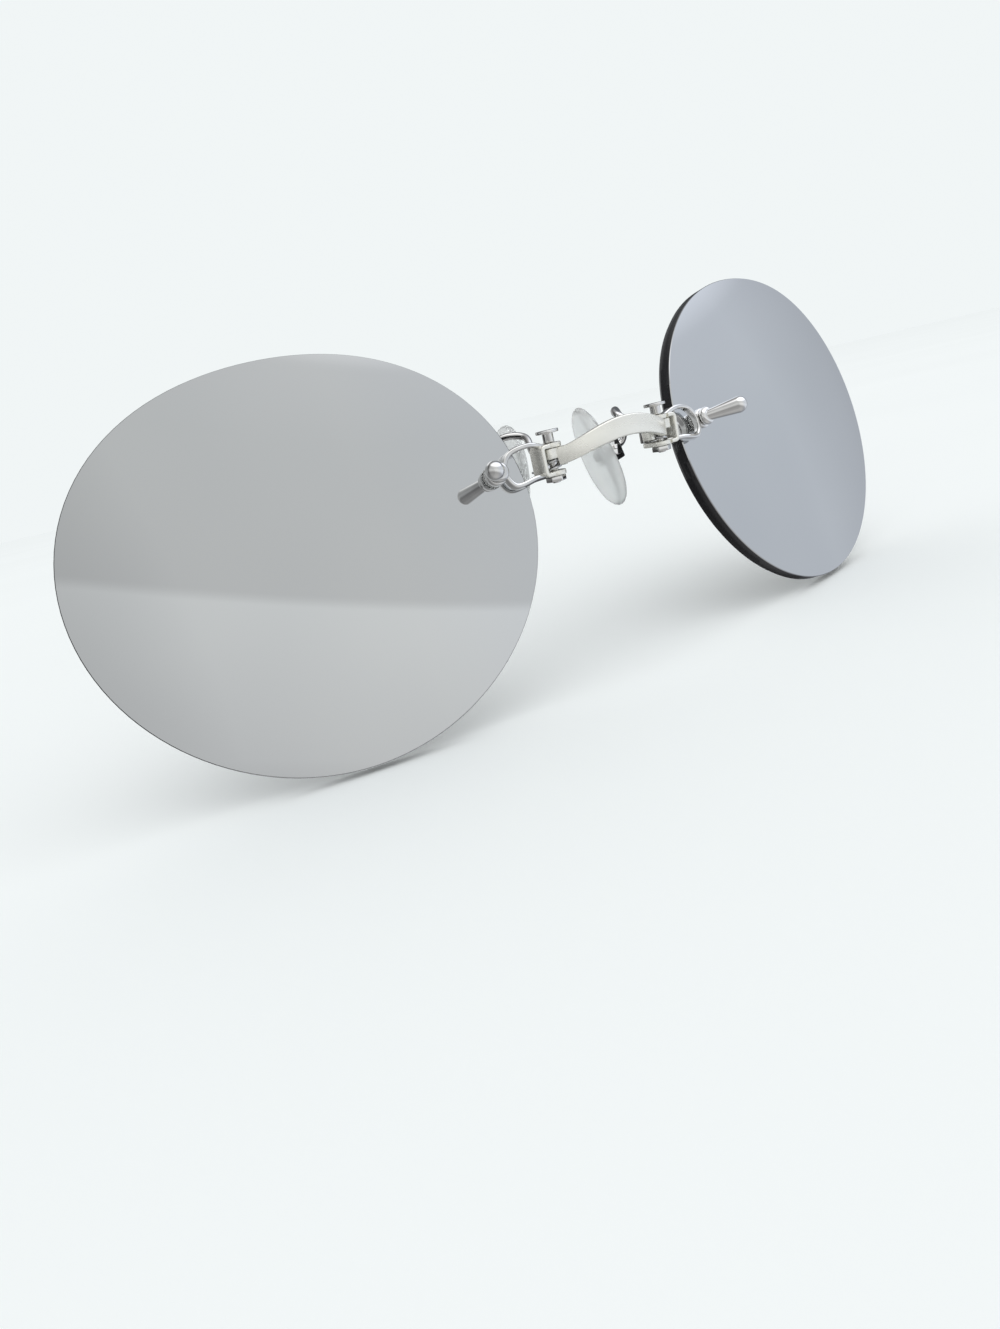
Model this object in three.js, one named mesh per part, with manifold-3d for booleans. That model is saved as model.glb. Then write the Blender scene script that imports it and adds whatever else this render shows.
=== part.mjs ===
// Nose clip sunglasses: two rimless mirrored lenses on forks that are hinged to an arched bridge bar.
// A torsion spring in each hinge closes the nose pads, and squeezing the two finger posts opens them.
// Millimetres, +Z up, front towards -Y. The origin lies midway between the nose pads.

import * as THREE from 'three';
import { mergeVertices } from 'three/addons/utils/BufferGeometryUtils.js';
import Module from 'manifold-3d';

const wasm = await Module();
wasm.setup();

const degrees = Math.PI / 180;

// Clearances
const seatGap = 0.05;
const bearingGap = 0.08;
const cutMargin = 1;

// Lenses: oval, a little fuller at the upper shoulders and the foot, with one hole near the nose
const lensWidth = 46;
const lensHeight = 40.6;
const lensFullness = 0.35;
const lensThickness = 1.8;
const lensFrontRadius = 200;
const lensToe = 14.2 * degrees;
const lensTilt = 13.3 * degrees;
const lensHoleInset = 3.34;
const lensHoleRise = 3.67;

// Where the hinges stand, and where each lens hole lies from its hinge
const hingeSpacing = 14.9;
const hingeAhead = 10.46;
const hingeHeight = 1.65;
const forkReach = 6.75;
const lensSetBack = 1.2;
const lensHoleDrop = 0.41;

// Bridge bar and the knuckles at its ends, recessed below for the springs
const barThickness = 0.8;
const barHeight = 1.95;
const barMiddleHeight = 2.15;
const barEndHeight = 1.75;
const barBowForward = 3.44;
const barBowRise = 1.5;
const barBowFullness = 1.5;
const knuckleDepth = 2.2;
const knuckleOuterReach = 1.1;
const knuckleInnerReach = 1.6;
const knuckleWeb = 0.5;
const knuckleMouth = 0.65;
const knuckleRecess = 0.9;
const knuckleCorner = 0.45;

// Hinge screw and nut
const hingeScrewRadius = 0.42;
const hingeNeckRadius = 0.58;
const hingeNeckHeight = 0.95;
const hingeHeadRadius = 1.2;
const hingeHeadHeight = 0.32;
const screwSlotWidth = 0.3;
const screwSlotDepth = 0.15;
const hingeNutRadius = 1.1;
const hingeNutHeight = 0.55;
const hingeScrewTail = 0.15;

// Hinge spring
const springWire = 0.25;
const springRadius = 0.78;
const springTurns = 1.25;
const springPitch = 0.72;
const springStepsPerTurn = 8;
const springSides = 5;
const springLegGap = 0.12;
const leastSpringGap = 0.4;

// Forks, each a flat band bent to a U
const forkEyeRadius = 1.2;
const forkBandWidth = 0.9;
const forkBandThickness = 0.5;
const forkBandEdge = 0.12;
const forkTangWidth = 2;
const forkWallReach = 1.9;
const forkWallThickness = 0.4;
const forkKneeReach = 2.7;
const forkUpperKneeRise = 0.55;
const forkLowerKneeForward = 0.45;
const forkThroat = 1.6;
const lensEyeRadius = 1.15;

// Lens fixing: screw, bush, washers and finger post on one axis
const lensScrewRadius = 0.4;
const lensScrewHeadRadius = 1.25;
const lensScrewHeadHeight = 0.65;
const lensScrewBite = 0.5;
const bushWall = 0.33;
const washerThickness = 0.35;
const washerRadius = 1.15;
const postCollarRadius = 1.05;
const postCollarLength = 0.9;
const postNeckRadius = 0.62;
const postTipRadius = 0.95;
const postLength = 4.62;
const postBoreExtra = 0.1;
const postLeanDown = 6.2 * degrees;
const postLeanOut = 28.5 * degrees;

// Pad arms and their boxes
const padArmPlateWidth = 1.9;
const padArmPlateDepth = 0.8;
const padArmPlateGap = 0.45;
const padArmWireRadius = 0.4;
const padArmRise = [-0.05, 3.4, 0.9];
const padArmBends = [[-2.2, -4.7, 4.2], [-0.4, -2.7, 4.5], [1.55, -1.3, 2.4], [1.6, -0.4, 0.7]];
const padBoxWall = 0.4;
const padBoxHeight = 2.6;
const padBoxMouth = 0.65;
const padBoxDepth = 0.6;

// Nose pads and their pivots
const padPivotSpacing = 17.5;
const padPivotToFace = 2.85;
const padThickness = 1.8;
const padHeight = 13;
const padDepth = 7;
const padTaper = 0.12;
const padEdge = 0.45;
const padSplay = 15 * degrees;
const padFrontal = 10 * degrees;
const padStudWidth = 1.5;
const padStudHeight = 1.1;
const padStudReach = 0.35;
const padScrewRadius = 0.32;
const padScrewHeadRadius = 0.62;
const padScrewHeadHeight = 0.35;

// Facets
const outlineSegments = 60;
const lensRings = 3;
const collarRings = 6;
const tipRings = 4;
const forkSteps = 36;
const armSteps = 32;
const roundSegments = 16;
const wireSegments = 7;
const bowSegments = 24;
const padSegments = 24;
const weldTolerance = 1e-5;

// Frames of the right-hand half, from which the left-hand half is mirrored
const hingePlace = new THREE.Vector3(hingeSpacing / 2, -hingeAhead, hingeHeight);
const lensHoleOut = lensHoleInset - lensWidth / 2;
const lensHoleSag = lensSag(lensHoleOut, lensHoleRise);
const lensTurn = new THREE.Matrix4().makeRotationFromEuler(new THREE.Euler(-lensTilt, 0, lensToe, 'ZXY'));
const lensHolePlace = hingePlace.clone().add(new THREE.Vector3(forkReach, lensSetBack, -lensHoleDrop));
const lensHoleOffset = new THREE.Vector3(lensHoleOut, lensHoleSag, lensHoleRise).applyMatrix4(lensTurn);
const lensFrame = lensTurn.clone().setPosition(lensHolePlace.clone().sub(lensHoleOffset));
const lensFixFrame = lensFixTurn().setPosition(lensHolePlace);
const padTurn = new THREE.Matrix4().makeRotationFromEuler(new THREE.Euler(0, -padSplay, -padFrontal, 'ZYX'));
const padFrame = padTurn.clone().setPosition(padPivotSpacing / 2, 0, 0);

// Levels in the hinge, measured from the middle of the bar
const upperEyeBase = barHeight / 2 + seatGap;
const upperEyeTop = upperEyeBase + forkBandThickness;
const recessTop = knuckleRecess - barHeight / 2;
const springRoom = springTurns * springPitch + springWire + 2 * seatGap;
const lowerEyeTop = recessTop - springRoom;
const lowerEyeBase = lowerEyeTop - forkBandThickness;
const pinHoleRadius = hingeScrewRadius + bearingGap;
const plateFront = knuckleDepth / 2 + padArmPlateGap;

// Levels in the lens fixing, measured back from the lens front
const washerFront = -seatGap - washerThickness;
const lensEyeBack = washerFront - seatGap;
const lensEyeFront = lensEyeBack - forkBandWidth;
const postBase = lensEyeFront - seatGap;
const rearWasherFront = lensThickness + seatGap;
const rearWasherBack = rearWasherFront + washerThickness;
const fixHoleRadius = lensScrewRadius + bearingGap;
const lensHoleRadius = fixHoleRadius + bushWall + seatGap;

function lensSag(x, z) {
  const reach = x * x + z * z;
  return lensFrontRadius - Math.sqrt(lensFrontRadius * lensFrontRadius - reach);
}

// The lens fixing stands square to the curved front of the lens at its hole
function lensFixTurn() {
  const lean = -Math.asin(lensHoleRise / lensFrontRadius);
  const swing = Math.atan2(lensHoleOut, lensFrontRadius - lensHoleSag);
  const surfaceTurn = new THREE.Matrix4().makeRotationFromEuler(new THREE.Euler(lean, 0, swing, 'ZXY'));
  return lensTurn.clone().multiply(surfaceTurn);
}

// Solids

function solidOf(geometry) {
  const source = geometry.clone();
  source.deleteAttribute('normal');
  source.deleteAttribute('uv');
  const welded = mergeVertices(source, weldTolerance);
  const positions = welded.getAttribute('position').array;
  const corners = welded.getIndex().array;
  const faces = [];
  for (let i = 0; i < corners.length; i += 3) {
    const [a, b, c] = [corners[i], corners[i + 1], corners[i + 2]];
    if (a !== b && b !== c && c !== a) {
      faces.push([a, b, c]);
    }
  }
  const outward = signedVolume(positions, faces) > 0;
  const triVerts = new Uint32Array(faces.flatMap(([a, b, c]) => (outward ? [a, b, c] : [a, c, b])));
  const mesh = new wasm.Mesh({ numProp: 3, vertProperties: new Float32Array(positions), triVerts });
  return new wasm.Manifold(mesh);
}

function signedVolume(positions, faces) {
  const at = (i) => new THREE.Vector3().fromArray(positions, 3 * i);
  return faces.reduce((sum, [a, b, c]) => sum + at(a).dot(at(b).cross(at(c))), 0);
}

function geometryOf(solid) {
  const mesh = solid.getMesh();
  const geometry = new THREE.BufferGeometry();
  geometry.setAttribute('position', new THREE.BufferAttribute(mesh.vertProperties, 3));
  geometry.setIndex(new THREE.BufferAttribute(mesh.triVerts, 1));
  geometry.computeVertexNormals();
  return geometry;
}

function join(...solids) {
  return solids.reduce((whole, piece) => whole.add(piece));
}

function box(low, high) {
  const size = high.map((value, i) => value - low[i]);
  const geometry = new THREE.BoxGeometry(...size);
  geometry.translate(low[0] + size[0] / 2, low[1] + size[1] / 2, low[2] + size[2] / 2);
  return geometry;
}

// A profile of [radius, height] pairs turned about the Y axis, or stood up along Z
function turned(profile, upright = false) {
  const points = profile.map(([radius, height]) => new THREE.Vector2(radius, height));
  const geometry = new THREE.LatheGeometry(points, roundSegments);
  if (upright) {
    geometry.rotateX(Math.PI / 2);
  }
  return geometry;
}

function rod(radius, from, to, upright = false) {
  return turned([[0, from], [radius, from], [radius, to], [0, to]], upright);
}

function ring(inner, outer, from, to, upright = false) {
  return turned([[inner, from], [outer, from], [outer, to], [inner, to], [inner, from]], upright);
}

function roundShape(radius, sides) {
  const corners = Array.from({ length: sides }, (_, i) => {
    const angle = (2 * Math.PI * i) / sides;
    return new THREE.Vector2(radius * Math.cos(angle), radius * Math.sin(angle));
  });
  return new THREE.Shape(corners);
}

function bandShape(width, thickness, edge) {
  const [w, t] = [width / 2, thickness / 2];
  const quarter = [[w, t - edge], [w - edge, t]];
  const half = [...quarter, ...quarter.map(([x, y]) => [-x, y]).reverse()];
  const corners = [...half, ...half.map(([x, y]) => [-x, -y])];
  return new THREE.Shape(corners.map(([x, y]) => new THREE.Vector2(x, y)));
}

function swept(shape, points, steps) {
  const path = new THREE.CatmullRomCurve3(points, false, 'centripetal');
  return new THREE.ExtrudeGeometry(shape, { steps, extrudePath: path });
}

function roundedRectangle(left, front, right, back, corner) {
  const shape = new THREE.Shape();
  shape.moveTo(left + corner, front);
  shape.absarc(right - corner, front + corner, corner, -Math.PI / 2, 0);
  shape.absarc(right - corner, back - corner, corner, 0, Math.PI / 2);
  shape.absarc(left + corner, back - corner, corner, Math.PI / 2, Math.PI);
  shape.absarc(left + corner, front + corner, corner, Math.PI, 1.5 * Math.PI);
  return shape;
}

function upright(shape, bottom, top, curveSegments = 6) {
  const options = { depth: top - bottom, bevelEnabled: false, curveSegments };
  const geometry = new THREE.ExtrudeGeometry(shape, options);
  geometry.translate(0, 0, bottom);
  return geometry;
}

// Lens

function lens() {
  const meanRadius = (lensWidth + lensHeight) / 4;
  const ovality = (lensWidth - lensHeight) / 4;
  const outline = Array.from({ length: outlineSegments }, (_, i) => {
    const angle = (2 * Math.PI * i) / outlineSegments;
    const radius = meanRadius + ovality * Math.cos(2 * angle) + lensFullness * Math.sin(3 * angle);
    return new THREE.Vector2(radius * Math.cos(angle), radius * Math.sin(angle));
  });
  const blankRadius = lensWidth / 2 + lensFullness + cutMargin;
  const backRadius = lensFrontRadius - lensThickness;
  const front = [];
  const back = [];
  for (let i = 0; i <= lensRings; i += 1) {
    const reach = (blankRadius * i) / lensRings;
    front.push([reach, lensSag(reach, 0)]);
    back.unshift([reach, lensFrontRadius - Math.sqrt(backRadius * backRadius - reach * reach)]);
  }
  const blankPoints = [...front, ...back].map(([reach, depth]) => new THREE.Vector2(reach, depth));
  const blank = new THREE.LatheGeometry(blankPoints, outlineSegments);
  const cutterDepth = lensSag(blankRadius, 0) + lensThickness + 2 * cutMargin;
  const cutter = upright(new THREE.Shape(outline), -cutterDepth, cutMargin);
  cutter.rotateX(Math.PI / 2);
  const drill = rod(lensHoleRadius, -cutMargin, lensThickness + cutMargin);
  drill.applyMatrix4(lensFixFrame);
  drill.applyMatrix4(lensFrame.clone().invert());
  return solidOf(blank).intersect(solidOf(cutter)).subtract(solidOf(drill));
}

// Bridge bar, whole: a strip bowed forward as half an ellipse from hinge to hinge, higher in the middle
function bridgeBar() {
  const span = hingePlace.x;
  const edge = (turn, side) => {
    const across = new THREE.Vector2(barBowForward * Math.cos(turn), span * Math.sin(turn)).normalize();
    const middle = new THREE.Vector2(-span * Math.cos(turn), -barBowForward * Math.sin(turn));
    return middle.addScaledVector(across, (side * barThickness) / 2);
  };
  const turns = Array.from({ length: bowSegments + 1 }, (_, i) => (Math.PI * i) / bowSegments);
  const front = turns.map((turn) => edge(turn, -1));
  const back = turns.map((turn) => edge(turn, 1));
  const strip = upright(new THREE.Shape([...front, ...back.reverse()]), -1 / 2, 1 / 2);
  const places = strip.getAttribute('position');
  for (let i = 0; i < places.count; i += 1) {
    const outward = Math.min(1, Math.abs(places.getX(i)) / span);
    const share = (1 - outward * outward) ** barBowFullness;
    const height = barEndHeight + (barMiddleHeight - barEndHeight) * share;
    places.setZ(i, height * places.getZ(i) + barBowRise * share);
  }
  const [leftKnuckle, rightKnuckle] = [-1, 1].map(knuckle);
  const whole = join(solidOf(strip), leftKnuckle.block, rightKnuckle.block);
  const cut = whole.subtract(leftKnuckle.cuts).subtract(rightKnuckle.cuts);
  return cut.translate([0, -hingeAhead, hingeHeight]);
}

// A block round the hinge screw, cut away below for the coil and at the front for the spring's end
function knuckle(side) {
  const half = knuckleDepth / 2;
  const floor = -barHeight / 2 - cutMargin;
  const plan = roundedRectangle(-knuckleInnerReach, -half, knuckleOuterReach, half, knuckleCorner);
  const block = upright(plan, -barHeight / 2, barHeight / 2);
  const webEnd = knuckleWeb - knuckleInnerReach;
  const cutFront = -half - seatGap;
  const recess = box([webEnd, cutFront, floor], [knuckleOuterReach + cutMargin, half + cutMargin, recessTop]);
  const mouthBack = knuckleMouth - half;
  const mouth = box([-knuckleInnerReach - cutMargin, cutFront, floor], [0, mouthBack, recessTop]);
  const bore = rod(pinHoleRadius, -barHeight, barHeight, true);
  const pieces = [block, recess, mouth, bore];
  pieces.forEach((piece) => piece.scale(side, 1, 1).translate(side * hingePlace.x, 0, 0));
  return { block: solidOf(block), cuts: join(solidOf(recess), solidOf(mouth), solidOf(bore)) };
}

// Hinge

function hingeScrew() {
  const foot = lowerEyeBase - seatGap - hingeNutHeight - hingeScrewTail;
  const neckBase = upperEyeTop + seatGap;
  const headBase = neckBase + hingeNeckHeight;
  const headTop = headBase + hingeHeadHeight;
  const headEdge = hingeHeadHeight / 4;
  const profile = [
    [0, foot], [hingeScrewRadius, foot], [hingeScrewRadius, neckBase], [hingeNeckRadius, neckBase],
    [hingeNeckRadius, headBase], [hingeHeadRadius, headBase], [hingeHeadRadius, headTop - headEdge],
    [hingeHeadRadius - headEdge, headTop], [0, headTop],
  ];
  const slotReach = hingeHeadRadius + cutMargin;
  const half = screwSlotWidth / 2;
  const slot = box([-slotReach, -half, headTop - screwSlotDepth], [slotReach, half, headTop + cutMargin]);
  return solidOf(turned(profile, true)).subtract(solidOf(slot));
}

function hingeNut() {
  const plan = roundShape(hingeNutRadius, 6);
  plan.holes.push(new THREE.Path(roundShape(pinHoleRadius, roundSegments).getPoints()));
  const top = lowerEyeBase - seatGap;
  return solidOf(upright(plan, top - hingeNutHeight, top));
}

// One unbroken wire: a leg beside the pad arm, the coil round the hinge screw, a leg before the knuckle's web
function hingeSpring() {
  const legSide = padArmPlateWidth / 2 + springWire / 2 + springLegGap;
  const legEnd = plateFront + padArmPlateDepth;
  const coilBase = lowerEyeTop + seatGap + springWire / 2;
  const path = [
    new THREE.Vector3(legSide, legEnd, coilBase),
    new THREE.Vector3(legSide, plateFront, coilBase),
    new THREE.Vector3(springRadius, springRadius, coilBase),
  ];
  const coilSteps = springTurns * springStepsPerTurn;
  for (let i = 0; i <= coilSteps; i += 1) {
    const turn = i / springStepsPerTurn;
    const angle = -2 * Math.PI * turn;
    const height = coilBase + turn * springPitch;
    path.push(new THREE.Vector3(springRadius * Math.cos(angle), springRadius * Math.sin(angle), height));
  }
  const last = path[path.length - 1];
  path.push(new THREE.Vector3(-springRadius, last.y, last.z));
  path.push(new THREE.Vector3(-knuckleInnerReach + springWire / 2, last.y, last.z));
  const gap = leastGap(path);
  console.log(`hinge spring: least gap to itself ${gap.toFixed(2)} mm, wanted over ${leastSpringGap} mm`);
  return solidOf(swept(roundShape(springWire / 2, springSides), path, 2 * path.length));
}

// The least free gap between points of the wire that lie over half a turn apart along it
function leastGap(path) {
  const apart = Math.PI * springRadius;
  const points = new THREE.CatmullRomCurve3(path, false, 'centripetal').getSpacedPoints(20 * path.length);
  const step = points[0].distanceTo(points[1]);
  let least = Infinity;
  points.forEach((point, i) => {
    for (let j = i + Math.ceil(apart / step); j < points.length; j += 1) {
      least = Math.min(least, point.distanceTo(points[j]) - springWire);
    }
  });
  return least;
}

// Fork: two eyes on the hinge screw, tangs behind them, a wall outside, a band bent to a U and a lens eye
function fork() {
  const tangEnd = plateFront + padArmPlateDepth;
  const eyePlan = new THREE.Shape();
  eyePlan.moveTo(forkTangWidth / 2, tangEnd);
  eyePlan.lineTo(-forkTangWidth / 2, tangEnd);
  eyePlan.absarc(0, 0, forkEyeRadius, Math.PI, 1.5 * Math.PI);
  eyePlan.lineTo(forkWallReach, -forkEyeRadius);
  eyePlan.lineTo(forkWallReach, forkEyeRadius);
  eyePlan.lineTo(forkTangWidth / 2, forkEyeRadius);
  const upperEye = solidOf(upright(eyePlan, upperEyeBase, upperEyeTop, roundSegments));
  const lowerEye = solidOf(upright(eyePlan, lowerEyeBase, lowerEyeTop, roundSegments));
  const wallLow = [forkWallReach - forkWallThickness, -forkEyeRadius, lowerEyeBase];
  const wall = solidOf(box(wallLow, [forkWallReach, forkEyeRadius, upperEyeTop]));
  const lensEyeMiddle = (lensEyeFront + lensEyeBack) / 2;
  const nearLens = (out, up) => {
    const point = new THREE.Vector3(out, lensEyeMiddle, up).applyMatrix4(lensFixFrame);
    return point.sub(hingePlace);
  };
  const rim = lensEyeRadius - forkBandThickness / 2;
  const shoulder = rim + forkThroat / 2;
  const bandStart = (pinHoleRadius + forkEyeRadius) / 2;
  const upperMiddle = (upperEyeBase + upperEyeTop) / 2;
  const lowerMiddle = (lowerEyeBase + lowerEyeTop) / 2;
  const path = [
    new THREE.Vector3(bandStart, 0, upperMiddle),
    new THREE.Vector3(forkKneeReach, 0, upperMiddle + forkUpperKneeRise),
    nearLens(-shoulder, forkThroat),
    nearLens(-rim, 0),
    nearLens(-shoulder, -forkThroat),
    new THREE.Vector3(forkKneeReach, -forkLowerKneeForward, lowerMiddle),
    new THREE.Vector3(bandStart, 0, lowerMiddle),
  ];
  const section = bandShape(forkBandWidth, forkBandThickness, forkBandEdge);
  const loop = solidOf(swept(section, path, forkSteps));
  const lensEye = rod(lensEyeRadius, lensEyeFront, lensEyeBack);
  const lensEyeHole = rod(fixHoleRadius, lensEyeFront - cutMargin, lensEyeBack + cutMargin);
  [lensEye, lensEyeHole].forEach((piece) => piece.applyMatrix4(lensFixFrame));
  [lensEye, lensEyeHole].forEach((piece) => piece.translate(-hingePlace.x, -hingePlace.y, -hingePlace.z));
  const pinHole = rod(pinHoleRadius, lowerEyeBase - cutMargin, upperEyeTop + cutMargin, true);
  const whole = join(upperEye, lowerEye, wall, loop, solidOf(lensEye));
  return whole.subtract(solidOf(pinHole)).subtract(solidOf(lensEyeHole));
}

// Lens fixing

// Finger post: a beaded collar on the lens screw, and a shaft that leans outward and swells to a round tip
function fingerPost() {
  const collarEnd = postBase - postCollarLength;
  const collar = [[0, postBase]];
  for (let i = 1; i < collarRings; i += 1) {
    const angle = (Math.PI * i) / collarRings;
    const bulge = postNeckRadius + (postCollarRadius - postNeckRadius) * Math.sin(angle);
    collar.push([bulge, postBase - (postCollarLength * (1 - Math.cos(angle))) / 2]);
  }
  collar.push([postNeckRadius, collarEnd], [0, collarEnd]);
  collar.splice(1, 0, [postNeckRadius, postBase]);
  const shaft = [[0, 0], [postNeckRadius, 0]];
  for (let i = 0; i < tipRings; i += 1) {
    const angle = (Math.PI / 2) * (i / tipRings);
    shaft.push([postTipRadius * Math.cos(angle), postTipRadius * (1 - Math.sin(angle)) - postLength]);
  }
  shaft.push([0, -postLength]);
  const shaftSolid = turned(shaft);
  shaftSolid.rotateX(postLeanDown).rotateZ(postLeanOut).translate(0, postBase - postCollarLength / 2, 0);
  const bore = rod(fixHoleRadius, postBase - lensScrewBite - postBoreExtra, postBase + cutMargin);
  return join(solidOf(turned(collar)), solidOf(shaftSolid)).subtract(solidOf(bore));
}

function lensScrew() {
  const tail = postBase - lensScrewBite;
  const headBase = rearWasherBack + seatGap;
  const headTop = headBase + lensScrewHeadHeight;
  const profile = [[0, tail], [lensScrewRadius, tail], [lensScrewRadius, headBase]];
  for (let i = 0; i < tipRings; i += 1) {
    const angle = (Math.PI / 2) * (i / tipRings);
    profile.push([lensScrewHeadRadius * Math.cos(angle), headBase + lensScrewHeadHeight * Math.sin(angle)]);
  }
  profile.push([0, headTop]);
  const slotReach = lensScrewHeadRadius + cutMargin;
  const half = screwSlotWidth / 2;
  const slot = box([-slotReach, headTop - screwSlotDepth, -half], [slotReach, headTop + cutMargin, half]);
  return solidOf(turned(profile)).subtract(solidOf(slot));
}

function lensBush() {
  return solidOf(ring(fixHoleRadius, fixHoleRadius + bushWall, 0, lensThickness));
}

function washer(front) {
  return solidOf(ring(fixHoleRadius, washerRadius, front, front + washerThickness));
}

// Pad arm: a plate between the fork's tangs, a bent wire, and a box round the pad's stud

function padArm() {
  const half = padArmPlateWidth / 2;
  const plateLow = lowerEyeTop + seatGap;
  const plateHigh = upperEyeBase - seatGap;
  const plate = box([-half, plateFront, plateLow], [half, plateFront + padArmPlateDepth, plateHigh]);
  plate.translate(hingePlace.x, hingePlace.y, hingePlace.z);
  const mouthHalf = padStudWidth / 2 + bearingGap;
  const boxHalf = mouthHalf + padBoxWall;
  const boxEnd = padBoxDepth + padBoxWall;
  const shell = box([-padBoxMouth, -boxHalf, -padBoxHeight / 2], [boxEnd, boxHalf, padBoxHeight / 2]);
  const hollowLow = [-padBoxMouth - cutMargin, -mouthHalf, -padBoxHeight];
  const hollow = box(hollowLow, [padBoxDepth, mouthHalf, padBoxHeight]);
  const screwHole = rod(padScrewRadius + bearingGap, -boxHalf - cutMargin, boxHalf + cutMargin);
  [shell, hollow, screwHole].forEach((piece) => piece.applyMatrix4(padFrame));
  const pivot = new THREE.Vector3().setFromMatrixPosition(padFrame);
  const boxBack = new THREE.Vector3(padBoxDepth + padBoxWall / 2, 0, 0).applyMatrix4(padFrame);
  const path = [
    hingePlace.clone().add(new THREE.Vector3(0, plateFront + padArmPlateDepth / 2, 0)),
    hingePlace.clone().add(new THREE.Vector3(...padArmRise)),
    ...padArmBends.map((bend) => pivot.clone().add(new THREE.Vector3(...bend))),
    boxBack,
  ];
  const arm = solidOf(swept(roundShape(padArmWireRadius, wireSegments), path, armSteps));
  const boxSolid = solidOf(shell).subtract(solidOf(hollow)).subtract(solidOf(screwHole));
  return join(solidOf(plate), arm.subtract(solidOf(hollow)), boxSolid);
}

function padScrew() {
  const boxHalf = padStudWidth / 2 + bearingGap + padBoxWall;
  const headBase = -boxHalf - seatGap;
  const headFront = headBase - padScrewHeadHeight;
  const profile = [
    [0, headFront], [padScrewHeadRadius, headFront], [padScrewHeadRadius, headBase],
    [padScrewRadius, headBase], [padScrewRadius, boxHalf], [0, boxHalf],
  ];
  return solidOf(turned(profile));
}

// Nose pad: a flat-faced oval with rounded edges, its stud held in the box by the pad screw
function nosePad() {
  const outline = Array.from({ length: padSegments }, (_, i) => {
    const angle = (2 * Math.PI * i) / padSegments;
    const narrowing = 1 - padTaper * Math.sin(angle);
    return new THREE.Vector2((padDepth / 2) * Math.cos(angle) * narrowing, (padHeight / 2) * Math.sin(angle));
  });
  const body = new THREE.ExtrudeGeometry(new THREE.Shape(outline), {
    depth: padThickness - 2 * padEdge,
    bevelThickness: padEdge,
    bevelSize: padEdge,
    bevelOffset: -padEdge,
    bevelSegments: 3,
  });
  const acrossAxis = new THREE.Vector3(1, 0, 0);
  const depthAxis = new THREE.Vector3(0, 1, 0);
  const heightAxis = new THREE.Vector3(0, 0, 1);
  body.applyMatrix4(new THREE.Matrix4().makeBasis(depthAxis, heightAxis, acrossAxis));
  body.translate(padEdge - padPivotToFace, 0, 0);
  const studFoot = padThickness / 2 - padPivotToFace;
  const half = padStudWidth / 2;
  const stud = box([studFoot, -half, -padStudHeight / 2], [padStudReach, half, padStudHeight / 2]);
  const hole = rod(padScrewRadius + bearingGap, -padStudWidth, padStudWidth);
  return join(solidOf(body), solidOf(stud)).subtract(solidOf(hole));
}

// Finishes

const finishes = {
  mirror: { color: 0xb9bdc0, roughness: 0.06, metalness: 0.9 },
  silver: { color: 0xdcd9cf, roughness: 0.25, metalness: 1 },
  steel: { color: 0xb4b7ba, roughness: 0.3, metalness: 1 },
  silicone: { color: 0xe3e9ea, roughness: 0.25, metalness: 0 },
  nylon: { color: 0xe8e8e4, roughness: 0.4, metalness: 0 },
};

function addPiece(parent, name, finish, solid, frame) {
  const mesh = new THREE.Mesh(geometryOf(solid), new THREE.MeshStandardMaterial(finishes[finish]));
  mesh.name = name;
  mesh.applyMatrix4(frame);
  parent.add(mesh);
}

// Assembly

const hingeFrame = new THREE.Matrix4().setPosition(hingePlace);
const partFrame = new THREE.Matrix4();
const sidePieces = [
  ['lens', 'mirror', lens(), lensFrame],
  ['fork', 'silver', fork(), hingeFrame],
  ['finger_post', 'silver', fingerPost(), lensFixFrame],
  ['lens_screw', 'silver', lensScrew(), lensFixFrame],
  ['lens_bush', 'nylon', lensBush(), lensFixFrame],
  ['front_washer', 'nylon', washer(washerFront), lensFixFrame],
  ['rear_washer', 'nylon', washer(rearWasherFront), lensFixFrame],
  ['hinge_screw', 'silver', hingeScrew(), hingeFrame],
  ['hinge_nut', 'silver', hingeNut(), hingeFrame],
  ['hinge_spring', 'steel', hingeSpring(), hingeFrame],
  ['pad_arm', 'silver', padArm(), partFrame],
  ['pad_screw', 'silver', padScrew(), padFrame],
  ['nose_pad', 'silicone', nosePad(), padFrame],
];

const sunglasses = new THREE.Group();
addPiece(sunglasses, 'bridge_bar', 'silver', bridgeBar(), partFrame);
for (const side of ['right', 'left']) {
  const half = new THREE.Group();
  half.scale.x = side === 'left' ? -1 : 1;
  for (const [name, finish, solid, frame] of sidePieces) {
    addPiece(half, `${side}_${name}`, finish, solid, frame);
  }
  sunglasses.add(half);
}

export default sunglasses;
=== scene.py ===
import math

import bmesh
import bpy
from mathutils import Matrix, Vector


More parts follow.
